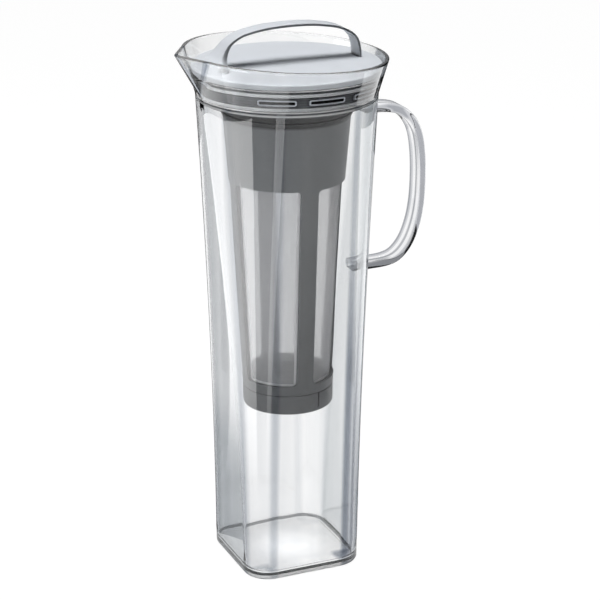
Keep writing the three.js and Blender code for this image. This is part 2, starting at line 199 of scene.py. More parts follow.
def squeezed(turn, shoulder):
    """Draws the columns of the spout in to its shoulders, which spread from the spout's foot to the rim."""
    size = abs(turn)
    quarter = math.pi / 2
    if size < COLUMN_SHOULDER:
        size *= shoulder / COLUMN_SHOULDER
    elif size < quarter:
        size = quarter - (quarter - size) * (quarter - shoulder) / (quarter - COLUMN_SHOULDER)
    return math.copysign(size, turn)


def from_spout(turn, reach, height):
    return Vector((-reach * math.cos(turn), reach * math.sin(turn), height))


def rounded_square(turn, half, corner):
    """How far a rounded square reaches at that angle."""
    across, along = abs(math.cos(turn)), abs(math.sin(turn))
    middle = max(half - corner, 0)
    reach = half / max(across, along)
    if reach * min(across, along) > middle:
        near = middle * (across + along)
        reach = near + math.sqrt(max(near**2 - 2 * middle**2 + corner**2, 0))
    return reach


def body_half(height):
    return blend_between(BASE_SIDE / 2, NECK_RADIUS, (height / CREASE) ** SWELL)


def body_corner(height):
    return blend_between(BASE_CORNER, NECK_RADIUS, (height / CREASE) ** SWELL)


def body_ring(column, height, inset, shrink=1.0):
    """A corner of the body's skin. The columns already draw together towards the spout's foot."""
    gathered = smooth_share((height - FOOT_START) / (CREASE - FOOT_START))
    turn = squeezed(turn_of(column), blend_between(COLUMN_SHOULDER, FOOT_ANGLE, gathered))
    reach = rounded_square(turn, body_half(height) - inset, body_corner(height) - inset)
    return from_spout(turn, reach * shrink, height)


def body_edge_ring(column, angle, low, wall, ease):
    """A corner of the rounded edge between a floor and the upright wall, from flat at 0 to upright."""
    return body_ring(column, low + ease * (1 - math.cos(angle)), wall + ease * (1 - math.sin(angle)))


def flare_reach(turn, height, wall, radius):
    """How far the flare reaches at that angle: the cone, or the flank of the spout where that is further."""
    tip_height = RIM_HEIGHT + math.tan(RIM_TILT) * (NECK_RADIUS + SPOUT_REACH)
    side_height = RIM_HEIGHT + math.tan(RIM_TILT) * NECK_RADIUS
    rim = NECK_RADIUS + FLARE_SPREAD * (side_height - CREASE) / FLARE_HEIGHT
    half_angle = math.atan2(
        rim * math.sin(SPOUT_SHOULDER), NECK_RADIUS + SPOUT_REACH - rim * math.cos(SPOUT_SHOULDER)
    )
    shift = wall / math.sin(half_angle)
    tip = NECK_RADIUS + SPOUT_REACH * (height - CREASE) / (tip_height - CREASE) - shift
    rise = (height - CREASE) / (side_height - CREASE)
    side_x = blend_between(NECK_RADIUS, rim * math.cos(SPOUT_SHOULDER), rise) - shift
    side_y = max(rim * math.sin(SPOUT_SHOULDER) * rise, NECK_RADIUS * math.sin(FOOT_ANGLE))
    side = math.atan2(side_y, side_x)
    inside = min(abs(turn), side)
    sideways = math.sqrt(math.sin(inside) ** 2 + SPOUT_SOFT**2) - SPOUT_SOFT
    flank = tip * side_y / (math.cos(inside) * side_y + (tip - side_x) * sideways)
    flank -= SPOUT_FALL * (abs(turn) - inside)
    blend = SPOUT_BLEND * min(rise * 3, 1)
    return (radius + flank + math.sqrt((radius - flank) ** 2 + blend**2)) / 2


def cone_radius(height):
    return NECK_RADIUS + FLARE_SPREAD * (height - CREASE) / FLARE_HEIGHT


def shoulder_at(height):
    rise = (height - CREASE) / FLARE_HEIGHT
    across = NECK_RADIUS * math.sin(SPOUT_SHOULDER) * rise
    return min(max(math.atan2(across, NECK_RADIUS), FOOT_ANGLE), SPOUT_SHOULDER)


def flare_ring(column, rise, wall, low, sink=0.0):
    """A corner of the flare's skin, a share of the way from a height up to the tilted rim."""
    height = blend_between(low, RIM_HEIGHT, rise)
    for _ in range(4):
        turn = squeezed(turn_of(column), shoulder_at(height))
        reach = flare_reach(turn, height, wall, cone_radius(height) - wall)
        rim = RIM_HEIGHT + math.tan(RIM_TILT) * reach * math.cos(turn)
        height = blend_between(low, rim - sink, rise)
    return from_spout(turn, reach, height)


def lip_ring(column, angle):
    """The rounded lip between the outside and the inside of the rim."""
    outside = flare_ring(column, 1.0, 0.0, CREASE, RIM_ROUND)
    inside = flare_ring(column, 1.0, FLARE_WALL, CREASE, RIM_ROUND)
    place = outside.lerp(inside, (1 - math.cos(angle)) / 2)
    place.z += RIM_ROUND * math.sin(angle)
    return place


def bore_ring(column, height, radius):
    """The inside below the ledge: the round bore, opened by the spout's channel."""
    turn = squeezed(turn_of(column), shoulder_at(height))
    return from_spout(turn, flare_reach(turn, height, FLARE_WALL, radius), height)


def rows(ring, measure, values, **others):
    """Stations that differ only in one measure of their ring."""
    return [partial(ring, **{measure: value}, **others) for value in values]


quarter_turn = steps(0, math.pi / 2, EDGE_ROWS)
outside_heights = [*steps(BASE_EDGE, CREASE, BODY_ROWS)[1:-1], CREASE - CREASE_EASE, CREASE]
flare_rises = [CREASE_EASE / FLARE_HEIGHT, *steps(0, 1, FLARE_ROWS)[1:]]
inside_heights = steps(CREASE, FLOOR_THICKNESS + INNER_EDGE, BODY_ROWS)[1:]
jug_stations = [
    *rows(body_ring, "shrink", FLOOR_RINGS, height=UNDERSIDE, inset=BASE_EDGE),
    *rows(body_edge_ring, "angle", quarter_turn, low=UNDERSIDE, wall=0.0, ease=BASE_EDGE),
    *rows(body_ring, "height", outside_heights, inset=0),
    *rows(flare_ring, "rise", flare_rises, wall=0.0, low=CREASE, sink=RIM_ROUND),
    *rows(lip_ring, "angle", steps(0, math.pi, LIP_ROWS)[1:-1]),
    *rows(flare_ring, "rise", steps(1, 0, FLARE_INNER_ROWS), wall=FLARE_WALL, low=LEDGE, sink=RIM_ROUND),
    partial(bore_ring, height=LEDGE - LEDGE_ROUND / 4, radius=BORE_RADIUS + LEDGE_ROUND),
    *rows(bore_ring, "height", steps(LEDGE - LEDGE_ROUND, CREASE, BORE_ROWS), radius=BORE_RADIUS),
    *rows(body_ring, "height", inside_heights, inset=WALL),
    *rows(body_edge_ring, "angle", quarter_turn[-2::-1], low=FLOOR_THICKNESS, wall=WALL, ease=INNER_EDGE),
    *rows(body_ring, "shrink", reversed(FLOOR_RINGS), height=FLOOR_THICKNESS, inset=WALL + INNER_EDGE),
]

WHITE = (1, 1, 1, 1)
CLEAR_IOR = 1.54
CLEAR_ROUGHNESS = 0.015
# The underside and its rounded edge are rougher, and the edge of the base scatters the light. The stops
# are shares of the heights below them.
FROSTING = ((0.0, 0.2), (0.08, 0.2), (0.12, 0.55), (0.8, 0.55), (1.0, CLEAR_ROUGHNESS))
FROSTING_TOP = 0.0026
BASE_CLEARNESS = ((0.0, 1), (0.08, 1), (0.14, 0.15), (0.82, 0.15), (0.86, 1))
BASE_CLEARNESS_TOP = 0.0037
# So do the two edges of the crease, and the lip of the rim
CREASE_CLEARNESS = 0.2
CREASE_LINES = (0.0, -0.0019)  # heights from the crease
CREASE_LINE_WIDTHS = (0.00022, 0.00042)
RIM_CLEARNESS = 0.75
RIM_BAND = (-0.0011, -0.0006)  # from the rim
# Painted shade: how much darker the wall's colour is painted, from straight on to edge on
PAINTED_EDGE_SHADE = (
    (0.0, 1),
    (0.40, 0.97),
    (0.62, (0.46, 0.49, 0.51)),
    (0.85, (0.30, 0.33, 0.36)),
    (1.0, (0.22, 0.25, 0.29)),
)
UPRIGHT = (0.9, 0.4)  # how level the surface is where that starts and where it is full
LESS_SHADE_SIDE = (-0.015, -0.03)  # towards the spout, above these heights, the painted edge shade is lighter
LESS_SHADE_HEIGHTS = (0.07, 0.10)
LESS_SHADE_SHARE = 0.65
# A painted line of shade where each flat side turns into a corner, by the share of its reach from the middle.
# At the right front corner it is painted darker and wider, up to the strip's heights.
CORNER_REACH = 0.04
CORNER_SHADE_LINE = ((0.44, 1), (0.49, (0.66, 0.68, 0.71)), (0.54, (0.66, 0.68, 0.71)), (0.59, 1))
BACK_CORNERS_LESS_SHADE = 0.7
STRIP_SHADE_LINE = (
    (0.44, 1),
    (0.49, (0.52, 0.54, 0.58)),
    (0.54, (0.52, 0.54, 0.58)),
    (0.60, (0.72, 0.73, 0.76)),
)
STRIP_HEIGHTS = (0.12, 0.19)
# Painted lines of shade along the folds down the middle of the spout and at its shoulders
FOLD_REACH = 0.0026
FOLD_SHADE = ((0.0, (0.42, 0.45, 0.50)), (0.35, (0.42, 0.45, 0.50)), (0.6, 1))
FOLD_FROM = -0.043
MIDDLE_FOLD_NARROWED = 0.6
SHOULDER_SPREAD = 0.78  # how far a shoulder's fold is from the middle, to the height above the crease
# Painted shade: the body is greyer on the spout's side, and the flare on the handle's
SIDE_REACH = 0.04
SPOUT_SIDE_SHADE = ((0.30, (0.93, 0.933, 0.94)), (0.42, 1))
FLARE_SIDE_SHADE = ((0.77, 1), (0.92, (0.58, 0.59, 0.61)))
STREAK_SCALE = 90.0
STREAK_STRETCH = (1, 1, 0.02)
STREAK_TINT = ((0.35, (0.96, 0.965, 0.97)), (0.6, 1))
DEPTH_TINT = (0.20, 0.29, 0.33, 1)
DEPTH_DENSITY = 10.0
FLOW_SCALE = 18.0
FLOW_STRETCH = (1, 1, 0.25)
FLOW_BUMP = 0.04
FLOW_DEPTH = 0.0006


def feed(node, inputs):
    """Sets a node's inputs to numbers and colours, or links another node's output to them."""
    for name, value in inputs.items():
        if isinstance(value, bpy.types.NodeSocket):
            node.id_data.links.new(value, node.inputs[name])
        else:
            node.inputs[name].default_value = value


def add_node(tree, kind, inputs, **settings):
    node = tree.nodes.new("ShaderNode" + kind)
    for name, value in settings.items():
        setattr(node, name, value)
    feed(node, inputs)
    return node


def new_material(name, inputs):
    """A material with only its Principled shader, and the tree that more nodes are added to."""
    made = bpy.data.materials.new(name)
    made.use_nodes = True
    shader = made.node_tree.nodes["Principled BSDF"]
    feed(shader, inputs)
    return made, made.node_tree, shader


def sums(operation, first, second=0.0):
    return add_node(first.id_data, "Math", {0: first, 1: second}, operation=operation).outputs[0]


def mapped(value, start, end, low=0.0, high=1.0):
    """Goes from low to high while the value goes from start to end, and stays there beyond them."""
    spread = {"Value": value, "From Min": start, "From Max": end, "To Min": low, "To Max": high}
    return add_node(value.id_data, "MapRange", spread).outputs["Result"]


def mixed(share, first, second, blend="MIX"):
    both = {"Factor": share, "A": first, "B": second}
    tree = (first if share == 1.0 else share).id_data
    return add_node(tree, "Mix", both, data_type="RGBA", blend_type=blend).outputs["Result"]


def multiplied(first, *others):
    for other in others:
        first = mixed(1.0, first, other, "MULTIPLY")
    return first


def colours_along(value, stops):
    """Colours along a value. Each stop is a share and a colour, or one number for a grey."""
    ramp = add_node(value.id_data, "ValToRGB", {"Fac": value})
    elements = ramp.color_ramp.elements
    while len(elements) < len(stops):
        elements.new(0.5)
    for element, (share, colour) in zip(elements, stops):
        element.position = share
        element.color = (*colour, 1) if isinstance(colour, tuple) else (colour, colour, colour, 1)
    return ramp.outputs["Color"]


def place_on_object(tree):
    """The X, Y and Z of the piece's own coordinates."""
    place = add_node(tree, "TexCoord", {})
    return add_node(tree, "SeparateXYZ", {"Vector": place.outputs["Object"]}).outputs


def slope_of_surface(tree):
    """The X, Y and Z of the way that the surface faces."""
    surface = add_node(tree, "NewGeometry", {})
    return add_node(tree, "SeparateXYZ", {"Vector": surface.outputs["Normal"]}).outputs


def noise_on_object(tree, scale, stretch=(1, 1, 1), detail=2.0):
    """Noise on the piece's own coordinates, with a stretch for grain that runs one way."""
    place = add_node(tree, "TexCoord", {})
    mapping = add_node(tree, "Mapping", {"Vector": place.outputs["Object"], "Scale": stretch})
    noise = {"Vector": mapping.outputs["Vector"], "Scale": scale, "Detail": detail}
    return add_node(tree, "TexNoise", noise).outputs["Fac"]


def bump_from(tree, height, shader, strength, depth):
    bump = add_node(tree, "Bump", {"Height": height, "Strength": strength, "Distance": depth})
    feed(shader, {"Normal": bump.outputs["Normal"]})


clear_plastic, tree, shader = new_material("clear_moulded_plastic", {
    "Base Color": WHITE,
    "Roughness": CLEAR_ROUGHNESS,
    "IOR": CLEAR_IOR,
    "Transmission Weight": 1.0,
})
place = place_on_object(tree)
along = sums("ABSOLUTE", place["X"])
across = sums("ABSOLUTE", place["Y"])
above_crease = sums("SUBTRACT", place["Z"], CREASE)
on_flare = sums("GREATER_THAN", above_crease, 0.0)
back_side = sums("GREATER_THAN", place["Y"], 0.0)
right_front = sums("GREATER_THAN", sums("GREATER_THAN", place["X"], 0.0), back_side)

# Painted shade on the clear plastic: darker edges, lines at the corners and folds, and greyer sides
facing = add_node(tree, "LayerWeight", {"Blend": 0.5}).outputs["Facing"]
upright = mapped(sums("ABSOLUTE", slope_of_surface(tree)["Z"]), *UPRIGHT)
edge_shade = colours_along(sums("MULTIPLY", facing, upright), PAINTED_EDGE_SHADE)
less_shade_side = mapped(place["X"], *LESS_SHADE_SIDE)
less_shade_above = mapped(place["Z"], *LESS_SHADE_HEIGHTS, high=LESS_SHADE_SHARE)
edge_shade = mixed(sums("MULTIPLY", less_shade_side, less_shade_above), edge_shade, WHITE)

corner_share = sums("DIVIDE", sums("MINIMUM", along, across), CORNER_REACH)
weaker = sums("MAXIMUM", sums("MULTIPLY", back_side, BACK_CORNERS_LESS_SHADE), on_flare)
corner_shade = mixed(weaker, colours_along(corner_share, CORNER_SHADE_LINE), WHITE)
shaded_strip = sums("MULTIPLY", right_front, mapped(place["Z"], *STRIP_HEIGHTS, 1.0, 0.0))
strip_shade = mixed(shaded_strip, WHITE, colours_along(corner_share, STRIP_SHADE_LINE))

shoulder = sums("MULTIPLY", above_crease, SHOULDER_SPREAD)
from_shoulder = sums("ABSOLUTE", sums("SUBTRACT", across, shoulder))
fold = sums("MINIMUM", sums("MULTIPLY", across, MIDDLE_FOLD_NARROWED), from_shoulder)
fold_shade = colours_along(sums("DIVIDE", fold, FOLD_REACH), FOLD_SHADE)
at_spout = sums("MULTIPLY", sums("LESS_THAN", place["X"], FOLD_FROM), on_flare)
fold_shade = mixed(at_spout, WHITE, fold_shade)

side_share = mapped(place["X"], -SIDE_REACH, SIDE_REACH)
body_side_shade = mixed(on_flare, colours_along(side_share, SPOUT_SIDE_SHADE), WHITE)
flare_right = sums("MULTIPLY", on_flare, right_front)
flare_side_shade = mixed(flare_right, WHITE, colours_along(side_share, FLARE_SIDE_SHADE))
streaks = noise_on_object(tree, STREAK_SCALE, STREAK_STRETCH)
streak_tint = colours_along(streaks, STREAK_TINT)

crease_lines = [sums("ABSOLUTE", sums("SUBTRACT", above_crease, line)) for line in CREASE_LINES]
crease_clear = mapped(sums("MINIMUM", *crease_lines), *CREASE_LINE_WIDTHS, CREASE_CLEARNESS)
rim_drop = sums("MULTIPLY", place["X"], math.tan(RIM_TILT))
from_rim = sums("SUBTRACT", sums("ADD", place["Z"], rim_drop), RIM_HEIGHT)
rim_clear = mapped(from_rim, *RIM_BAND, 1.0, RIM_CLEARNESS)
base_share = sums("DIVIDE", place["Z"], BASE_CLEARNESS_TOP)
base_clear = colours_along(base_share, BASE_CLEARNESS)
clearness = sums("MINIMUM", sums("MINIMUM", crease_clear, rim_clear), base_clear)
feed(shader, {
    "Base Color": multiplied(
        edge_shade, corner_shade, strip_shade, fold_shade, body_side_shade, flare_side_shade, streak_tint
    ),
    "Roughness": colours_along(sums("DIVIDE", place["Z"], FROSTING_TOP), FROSTING),
    "Transmission Weight": clearness,
})
flow = noise_on_object(tree, FLOW_SCALE, FLOW_STRETCH, 1.0)
bump_from(tree, flow, shader, FLOW_BUMP, FLOW_DEPTH)
depth = add_node(tree, "VolumeAbsorption", {"Color": DEPTH_TINT, "Density": DEPTH_DENSITY})
feed(tree.nodes["Material Output"], {"Volume": depth.outputs["Volume"]})
jug = make_piece(loft(JUG_COLUMNS, jug_stations), "clear_jug", clear_plastic)
stand_in(jug, "jug_body", "jug")

# Jug handle
# A clear bar bent to a C, moulded on its own and bonded to the jug's flat side at the end of both arms.
# It is a rounded rectangle in section and keeps it all the way round.
HANDLE_TOP_DROP = 0.0126
HANDLE_SPAN = 0.0855
HANDLE_STAND_OFF = 0.029
HANDLE_WIDTH = 0.012
HANDLE_THICKNESS = 0.0049
HANDLE_EDGE = 0.0019
HANDLE_SEAM = 0.00012
HANDLE_SEAT = 0.0008  # how far off the jug's side its plain length starts
HANDLE_BEND = (
    (-0.08, 1.0), (0.33, 0.99), (0.57, 0.962), (0.78, 0.897), (0.915, 0.8), (0.98, 0.66), (0.995, 0.507),
    (0.975, 0.361), (0.905, 0.232), (0.77, 0.116), (0.57, 0.037), (0.33, 0.006), (-0.08, 0.0), (-0.36, 0.0),
)  # share of the stand-off, share of the span
BAR_COLUMNS = 32
HANDLE_IOR = 1.12
HANDLE_SHADE_LINES = (
    (0.38, (0.93, 0.93, 0.94)),
    (0.50, (0.38, 0.39, 0.41)),
    (0.62, (0.30, 0.31, 0.33)),
    (0.76, (0.93, 0.93, 0.94)),
    (0.92, (0.93, 0.93, 0.94)),
    (0.98, (0.42, 0.43, 0.46)),
)  # painted grey lines of shade along its rounded edges, by their share of half its width
HANDLE_FLOW_SCALE = 60
HANDLE_FLOW_TINT = ((0.35, (0.9, 0.91, 0.92)), (0.6, 1))


def smooth_path(points, count=8):
    """Places on a smooth curve through the points, as many to each stretch as the count says."""
    ends = [points[0] * 2 - points[1], *points, points[-1] * 2 - points[-2]]
    path = []
    for before, start, end, after in zip(ends, ends[1:], ends[2:], ends[3:]):
        for number in range(count):
            t = number / count
            bend = (before * 2 - start * 5 + end * 4 - after) * t**2
            twist = (start * 3 - before - end * 3 + after) * t**3
            path.append((start * 2 + (end - before) * t + bend + twist) / 2)
    return [*path, points[-1]]


def outward_of(path, number):
    """The way out of the bend at one place of a path."""
    ahead = path[min(number + 1, len(path) - 1)] - path[max(number - 1, 0)]
    return Vector((-ahead.y, ahead.x)).normalized()


def bar_ring(column, middle, outward, half_depth, half_width, edge):
    """A corner of a bar's rounded section, across the plane that the bar is bent in."""
    quarter = BAR_COLUMNS // 4
    corner, step = divmod(column, quarter)
    angle = math.pi / 2 * (corner + step / (quarter - 1))
    across = half_width - edge if corner in (0, 3) else edge - half_width
    out = half_depth - edge if corner in (0, 1) else edge - half_depth
    across += edge * math.cos(angle)
    out += edge * math.sin(angle)
    return Vector((middle.x + outward.x * out, across, middle.y + outward.y * out))


def jug_side(across, height):
    """How far out the jug's flat side is, beside the middle line and at that height."""
    corner = body_corner(height)
    middle = body_half(height) - corner
    beside = max(abs(across) - middle, 0)
    return middle + math.sqrt(corner**2 - beside**2)


def seated_on_jug(column, **ring):
    corner = bar_ring(column, **ring)
    corner.x = jug_side(corner.y, corner.z) + HANDLE_SEAM
    return corner


handle_low = CREASE - HANDLE_TOP_DROP - HANDLE_SPAN
handle_path = smooth_path([
    Vector((NECK_RADIUS + HANDLE_STAND_OFF * out, handle_low + HANDLE_SPAN * up))
    for out, up in HANDLE_BEND
])
handle_path = [spot for spot in handle_path if spot.x > jug_side(0, spot.y) + HANDLE_SEAT]
handle_rings = [
    dict(
        middle=spot,
        outward=outward_of(handle_path, number),
        half_depth=HANDLE_THICKNESS / 2,
        half_width=HANDLE_WIDTH / 2,
        edge=HANDLE_EDGE,
    )
    for number, spot in enumerate(handle_path)
]
handle_stations = [
    partial(seated_on_jug, **handle_rings[0]),
    *[partial(bar_ring, **ring) for ring in handle_rings],
    partial(seated_on_jug, **handle_rings[-1]),
]
handle_plastic, tree, shader = new_material("clear_handle_plastic", {
    "Roughness": CLEAR_ROUGHNESS,
    "IOR": HANDLE_IOR,
    "Transmission Weight": 1.0,
})
flow = noise_on_object(tree, HANDLE_FLOW_SCALE)
# Painted shade: grey lines along the bar's rounded edges
across = sums("ABSOLUTE", place_on_object(tree)["Y"])
line_shade = colours_along(sums("DIVIDE", across, HANDLE_WIDTH / 2), HANDLE_SHADE_LINES)
feed(shader, {"Base Color": multiplied(colours_along(flow, HANDLE_FLOW_TINT), line_shade)})
bump_from(tree, flow, shader, FLOW_BUMP, FLOW_DEPTH)
handle = make_piece(loft(BAR_COLUMNS, handle_stations), "clear_handle", handle_plastic)
stand_in(handle, "jug_handle", "jug")

# Lid cap
# A light grey plastic disc with an arched grip across it, moulded in one. The end of the arch at the
# spout's side spreads into a broad foot, the other goes straight down.
LID_GREY = (0.60, 0.625, 0.66, 1)
LID_GREY_WORN = (0.56, 0.585, 0.62, 1)
LID_ROUGHNESS = 0.38
LID_RECESS = 0.002
SEAT_GAP = 0.0003
DISC_THICKNESS = 0.003
DISC_CLEARANCE = 0.00045
DISC_CROWN = 0.0007
DISC_EDGE = 0.001
DISC_UNDER_EDGE = 0.0004
DISC_SOFT = 0.004
DISC_RINGS = ((0.8, 0.36), (0.5, 0.75))  # share of its radius, share of its crown
ARCH_OFFSET = 0.0014
ARCH_SPAN = 0.0732
ARCH_HEIGHT = 0.0188
ARCH_THICKNESS = 0.0013
ARCH_WIDTH = 0.0106
ARCH_EDGE = 0.0003
ARCH_FOOT_WIDTH = 0.030
ARCH_FOOT_LENGTH = 0.012
ARCH_FOOT_ROUND = 0.48
ARCH_BEND = (
    (-1.0, -0.08, 1.0), (-1.0, 0.1, 0.66), (-0.995, 0.22, 0.4), (-0.985, 0.36, 0.2), (-0.96, 0.5, 0.08),
    (-0.9, 0.66, 0.02), (-0.765, 0.82, 0), (-0.6, 0.905, 0), (-0.4, 0.965, 0), (-0.2, 0.992, 0),
    (0.03, 1.0, 0), (0.25, 0.985, 0), (0.47, 0.935, 0), (0.68, 0.85, 0), (0.85, 0.7, 0), (0.945, 0.53, 0),
    (0.985, 0.32, 0), (1.0, 0.1, 0), (1.0, -0.08, 0),
)  # share of half the span, share of the height, share of the foot's spread
ARCH_SIDE_SHADE = 0.35
ARCH_SIDE_SLOPES = (0.6, 0.9)
ROUND_COLUMNS = 160
PATCH_SCALE = 90
RECESS_SHADE = ((0.45, 0.03), (0.9, 1))
GLOSS_SPREAD = 0.05
GRAIN_SCALE = 1800
GRAIN_BUMP = 0.25
GRAIN_DEPTH = 0.00006


def rounded_profile(corners, count=4):
    """A turned piece's outline: each corner is its radius, its height and how far it is rounded."""
    outline = []
    for number, (radius, height, ease) in enumerate(corners):
        corner = Vector((radius, height))
        if ease == 0:
            outline.append(corner)
            continue
        before = Vector(corners[number - 1][:2])
        after = Vector(corners[(number + 1) % len(corners)][:2])
        start = corner + (before - corner).normalized() * ease
        end = corner + (after - corner).normalized() * ease
        for share in steps(0, 1, count):
            outline.append(start.lerp(corner, share).lerp(corner.lerp(end, share), share))
    return outline


def turned(outline, columns=ROUND_COLUMNS):
    """Spins a closed outline about the jug's axis."""
    bm = bmesh.new()
    corners = [bm.verts.new((spot.x, 0, spot.y)) for spot in outline]
    edges = [bm.edges.new((corner, corners[number - 1])) for number, corner in enumerate(corners)]
    bmesh.ops.spin(
        bm, geom=corners + edges, axis=(0, 0, 1), cent=(0, 0, 0), angle=2 * math.pi, steps=columns,
        use_merge=True,
    )
    bmesh.ops.remove_doubles(bm, verts=bm.verts, dist=1e-6)
    bmesh.ops.dissolve_degenerate(bm, edges=bm.edges, dist=1e-7)
    bmesh.ops.delete(bm, geom=[edge for edge in bm.edges if not edge.link_faces], context="EDGES")
    bmesh.ops.recalc_face_normals(bm, faces=bm.faces)
    return bm


def moulded_plastic(name, colour, worn, roughness, recess, painted_light_and_shade):
    """Opaque plastic with a fine grain, uneven colour and gloss, painted shade in its recesses, and the
    painted light and shade that it is given.
    """
    made, tree, shader = new_material(name, {})
    patches = noise_on_object(tree, PATCH_SCALE)
    # Painted shade: the colour darkens in recesses, where nearby parts of the piece hide the room
    shade = add_node(tree, "AmbientOcclusion", {"Distance": recess}, only_local=True)
    shaded = multiplied(colours_along(shade.outputs["AO"], RECESS_SHADE), painted_light_and_shade(tree))
    feed(shader, {
        "Base Color": multiplied(mixed(patches, worn, colour), shaded),
        "Roughness": mapped(patches, 0.0, 1.0, roughness - GLOSS_SPREAD, roughness + GLOSS_SPREAD),
    })
    bump_from(tree, noise_on_object(tree, GRAIN_SCALE), shader, GRAIN_BUMP, GRAIN_DEPTH)
    return made


disc_low = LEDGE + SEAT_GAP
disc_top = disc_low + DISC_THICKNESS
disc_radius = cone_radius(disc_low) - FLARE_WALL - DISC_CLEARANCE
disc_wide = disc_radius + (DISC_THICKNESS - DISC_EDGE) * FLARE_SPREAD / FLARE_HEIGHT


def arch_sides(tree):
    """Painted shade: the upright sides of the arch are painted a darker grey than its top."""
    on_arch = sums("GREATER_THAN", place_on_object(tree)["Z"], disc_top + 1.5 * DISC_CROWN)
    sideways = sums("ABSOLUTE", slope_of_surface(tree)["Y"])
    on_side = sums("MULTIPLY", sideways, on_arch)
    return mapped(on_side, *ARCH_SIDE_SLOPES, 1.0, ARCH_SIDE_SHADE)


lid_plastic = moulded_plastic(
    "light_grey_lid_plastic", LID_GREY, LID_GREY_WORN, LID_ROUGHNESS, LID_RECESS, arch_sides
)
disc = turned(rounded_profile([
    (0, disc_low, 0),
    (disc_radius, disc_low, DISC_UNDER_EDGE),
    (disc_wide, disc_top, DISC_EDGE),
    *[(disc_wide * out, disc_top + DISC_CROWN * up, DISC_SOFT) for out, up in DISC_RINGS],
    (0, disc_top + DISC_CROWN, 0),
]))
arch_path = smooth_path([
    Vector((ARCH_OFFSET + ARCH_SPAN / 2 * along, disc_top + ARCH_HEIGHT * up, foot))
    for along, up, foot in ARCH_BEND
], 5)
arch_stations = []
for number, spot in enumerate(arch_path):
    outward = outward_of(arch_path, number)
    foot = max(spot.z, 0)
    depth = blend_between(ARCH_THICKNESS, ARCH_FOOT_LENGTH, foot)
    arch_stations.append(partial(
        bar_ring,
        middle=spot.to_2d() + outward * depth / 2,
        outward=outward,
        half_depth=depth / 2,
        half_width=blend_between(ARCH_WIDTH, ARCH_FOOT_WIDTH, foot) / 2,
        edge=blend_between(ARCH_EDGE, depth * ARCH_FOOT_ROUND, min(foot * 4, 1)),
    ))
arch = loft(BAR_COLUMNS, arch_stations)
arch_mesh = bpy.data.meshes.new("arch")
arch.to_mesh(arch_mesh)
disc.from_mesh(arch_mesh)
lid_cap = make_piece(disc, "lid_cap_grey", lid_plastic)
stand_in(lid_cap, "lid_cap", "lid")

# Lid plug
# The grey skirt below the cap, which slides into the neck: grooves for the two packings, a row of pouring
# slots with raised edges on either side, a flat web, and a socket that the strainer is pushed into.
# The plug's grey is painted much darker than the cap's, as painted shade for where it lies inside the neck.
SHADED_PLUG_GREY = (0.13, 0.136, 0.147, 1)
SHADED_PLUG_GREY_WORN = (0.115, 0.12, 0.13, 1)
PLUG_ROUGHNESS = 0.42
PLUG_RECESS = 0.02
SKIRT_CLEARANCE = 0.0008
SKIRT_WALL = 0.0022
SKIRT_BOTTOM = CREASE - 0.0034
GROOVE_DEPTH = 0.001
GROOVE_EDGE = 0.0002
PACKING_RISES = {"lower_packing": 0.0004, "upper_packing": 0.0078}
PACKING_HEIGHT = 0.002
WEB_BOTTOM = LEDGE - 0.0018
TEA_PASSAGE = 0.0115
SOCKET_WALL = 0.0016
COLLAR_RADIUS = BORE_RADIUS - TEA_PASSAGE
LIP_TOP = CREASE - 0.0088
SMALL_EDGE = 0.0003
SOCKET_EDGE = 0.0004
SKIRT_INNER_EDGE = 0.0005
SKIRT_EDGE = 0.0006
SLOT_HEIGHT = 0.0024
SLOT_ANGLE = math.radians(24)
SLOT_PITCH = math.radians(32)
SLOT_TURN = math.radians(2.7)
SLOT_MIDDLE = CREASE + 0.0039 + SLOT_HEIGHT / 2
SLOT_END = 0.0009
SLOT_RIM = 0.0004
SLOT_RIM_RISE = 0.0005
SLOT_RIM_HIGHLIGHT_EASE = (0.3, 0.8)  # shares of that rise where the painted highlight comes in
SLOT_NARROWED = 0.0004
SLOT_DEEPER = 0.001
# Painted light and shade: highlights on the slots' raised edges, shade on the socket, lines round the skirt
SLOT_RIM_HIGHLIGHT = 5.5
SOCKET_SHADE = 0.03
SOCKET_EASE = (0.001, 0.003)  # outside the collar's radius
SKIRT_LINES = 1500.0  # to a metre of height
SKIRT_LINE_SHADES = (0.78, 1.12)


def carved(bm, tool, operation):
    """Cuts a tool out of a piece, or joins it on, and gives the piece back."""
    objects = []
    for part in (bm, tool):
        mesh = bpy.data.meshes.new("part")
        part.to_mesh(mesh)
        part.free()
        objects.append(bpy.data.objects.new("part", mesh))
        bpy.context.scene.collection.objects.link(objects[-1])
    carving = objects[0].modifiers.new("carving", "BOOLEAN")
    carving.operation = operation
    carving.object = objects[1]
    carving.solver = "EXACT"
    finished = bmesh.new()
    finished.from_object(objects[0], bpy.context.evaluated_depsgraph_get())
    for part in objects:
        bpy.data.meshes.remove(part.data)
    return finished


def add_block(bm, size, middle, turn, ease=0.0, segments=1, rounds=None):
    """Adds a block, rounds the edges that are picked, and turns it about the jug's axis."""
    block = bmesh.ops.create_cube(bm, size=1)["verts"]
    bmesh.ops.scale(bm, verts=block, vec=size)
    if rounds:
        edges = [edge for edge in bm.edges if set(edge.verts) <= set(block) and rounds(*edge.verts)]
        ends = bmesh.ops.bevel(
            bm, geom=edges, offset=ease, offset_type="OFFSET", segments=segments, profile=0.5,
            affect="EDGES", material=-1,
        )
        left = {vert for vert in block if vert.is_valid}
        block = left | {vert for face in ends["faces"] for vert in face.verts}
    bmesh.ops.translate(bm, verts=list(block), vec=middle)
    turning = Quaternion((0, 0, 1), turn).to_matrix()
    bmesh.ops.rotate(bm, verts=list(block), cent=(0, 0, 0), matrix=turning)


